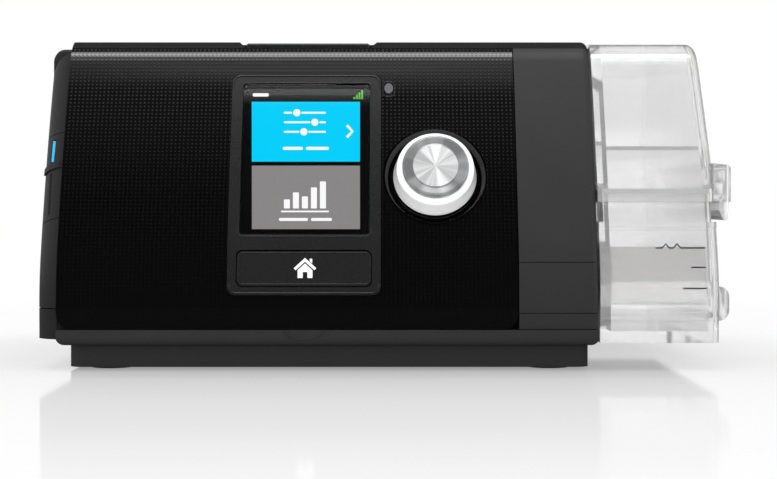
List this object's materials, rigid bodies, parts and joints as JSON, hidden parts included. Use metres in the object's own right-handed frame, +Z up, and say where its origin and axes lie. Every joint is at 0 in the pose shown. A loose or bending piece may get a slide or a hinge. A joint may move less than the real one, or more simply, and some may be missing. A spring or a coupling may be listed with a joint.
{
  "type": "cpap machine",
  "caption": "Bedside CPAP breathing machine with a slanted glossy front, colour screen and push dial, and a clear humidifier water tub that slides into its right side.",
  "frame": {"origin": "bottom centre of the whole machine's box: the plane under the feet, midway in width and depth", "axes": "+X towards the water tub, -Y the front with the screen, +Z up"},
  "size_m": [0.205, 0.15, 0.0974],
  "materials": {
    "black_satin": "satin",
    "black_gloss": "high gloss",
    "key_black": "satin",
    "case_black": "fine matt texture",
    "inner_grey": "as moulded",
    "lens_clear": "clear, glossy",
    "display": "lit colour display",
    "skirt_white": "glossy white",
    "cap_metal": "brushed in circles",
    "tub_clear": "clear, lightly frosted",
    "silicone": "matt",
    "rubber_black": "matt",
    "steel": "brushed",
    "heater_metal": "satin",
    "foil": "amber film",
    "board": "solder mask",
    "chip": "matt",
    "motor_can": "satin",
    "foam": "open foam",
    "filter_white": "fibre pad",
    "card_blue": "glossy",
    "lamp_green": "light pipe"
  },
  "bodies": {
    "housing": {"bottom_case": "case_black", "rubber_feet": "rubber_black", "case_screws": "steel", "rear_housing": "case_black", "front_fascia": "black_gloss", "dock_front_cover": "black_satin", "dock_strip": "black_satin", "dock_lower_trim": "black_satin", "screen_bezel": "key_black", "screen_lens": "lens_clear", "lcd_module": "display", "display_board": "board", "home_switch": "chip", "light_sensor": "lens_clear", "start_switch": "chip", "dial_well": "black_gloss", "dial_encoder": "chip", "end_panel": "case_black", "lower_panel": "case_black", "card_reader": "steel", "adapter_socket": "chip", "dock_sleeve": "case_black", "heater_plate": "heater_metal", "heater_foil": "foil", "port_seals": "silicone", "blower_lower": "inner_grey", "blower_upper": "inner_grey", "blower_motor": "motor_can", "blower_suspension": "silicone", "sound_foam": "foam", "inlet_duct": "inner_grey", "outlet_duct": "inner_grey", "power_inlet": "chip", "main_board": "board", "wireless_module": "steel", "flow_sensor": "chip"},
    "start_key": {"start_button": "key_black", "status_light": "lamp_green"},
    "home_key": {"home_button": "key_black"},
    "dial_push": {"dial_plunger": "steel"},
    "dial": {"dial_shaft": "inner_grey", "dial_skirt": "skirt_white", "dial_cap": "cap_metal"},
    "tub": {"tub_base": "tub_clear", "conduction_plate": "steel", "tub_seal": "silicone", "tub_lid": "tub_clear", "tub_baffle": "tub_clear"},
    "filter_door": {"filter_cover": "case_black", "air_filter": "filter_white"},
    "card_flap": {"sd_cover": "case_black"},
    "memory_card": {"sd_card": "card_blue"},
    "outlet_tube": {"outlet_connector": "case_black"},
    "socket_cover": {"adapter_cover": "case_black"},
    "plug_clip": {"retention_clip": "case_black"},
    "fan": {"impeller": "inner_grey", "motor_shaft": "steel"}
  },
  "joints": [
    {"name": "start_press", "type": "slide", "parent": "housing", "child": "start_key", "axis": [0, 0, -1], "range_m": [0, 0.0008], "stiffness_N_per_m": 400, "springref_m": -0.0005},
    {"name": "home_press", "type": "slide", "parent": "housing", "child": "home_key", "axis": [0, 0.9816, -0.1911], "range_m": [0, 0.0006], "stiffness_N_per_m": 400, "springref_m": -0.0005},
    {"name": "dial_press", "type": "slide", "parent": "housing", "child": "dial_push", "axis": [0, 0.9268, -0.3755], "range_m": [0, 0.0008], "stiffness_N_per_m": 500, "springref_m": -0.0005},
    {"name": "dial_turn", "type": "hinge", "parent": "dial_push", "child": "dial", "pos_m": [0.0146, -0.06389, 0.0562], "axis": [0, -0.9268, 0.3755], "continuous": true},
    {"name": "tub_slide", "type": "slide", "parent": "housing", "child": "tub", "axis": [1, 0, 0], "range_m": [0, 0.085]},
    {"name": "filter_cover_pull", "type": "slide", "parent": "housing", "child": "filter_door", "axis": [-1, 0, 0], "range_m": [0, 0.025]},
    {"name": "card_flap_swing", "type": "hinge", "parent": "housing", "child": "card_flap", "pos_m": [-0.1012, -0.05012, 0.05237], "axis": [0, -0.3797, -0.9251], "range_deg": [0, 90]},
    {"name": "card_press", "type": "slide", "parent": "housing", "child": "memory_card", "axis": [1, 0, 0], "range_m": [0, 0.001], "stiffness_N_per_m": 300, "springref_m": -0.0005},
    {"name": "outlet_pull", "type": "slide", "parent": "housing", "child": "outlet_tube", "axis": [0, 1, 0], "range_m": [0, 0.03]},
    {"name": "socket_cover_pull", "type": "slide", "parent": "housing", "child": "socket_cover", "axis": [0, 1, 0], "range_m": [0, 0.012]},
    {"name": "plug_clip_swing", "type": "hinge", "parent": "housing", "child": "plug_clip", "pos_m": [-0.075, 0.067, 0.04], "axis": [1, 0, 0], "range_deg": [0, 90]},
    {"name": "fan_spin", "type": "hinge", "parent": "housing", "child": "fan", "pos_m": [-0.055, 0.014, 0.024], "axis": [0, 0, 1], "continuous": true}
  ]
}
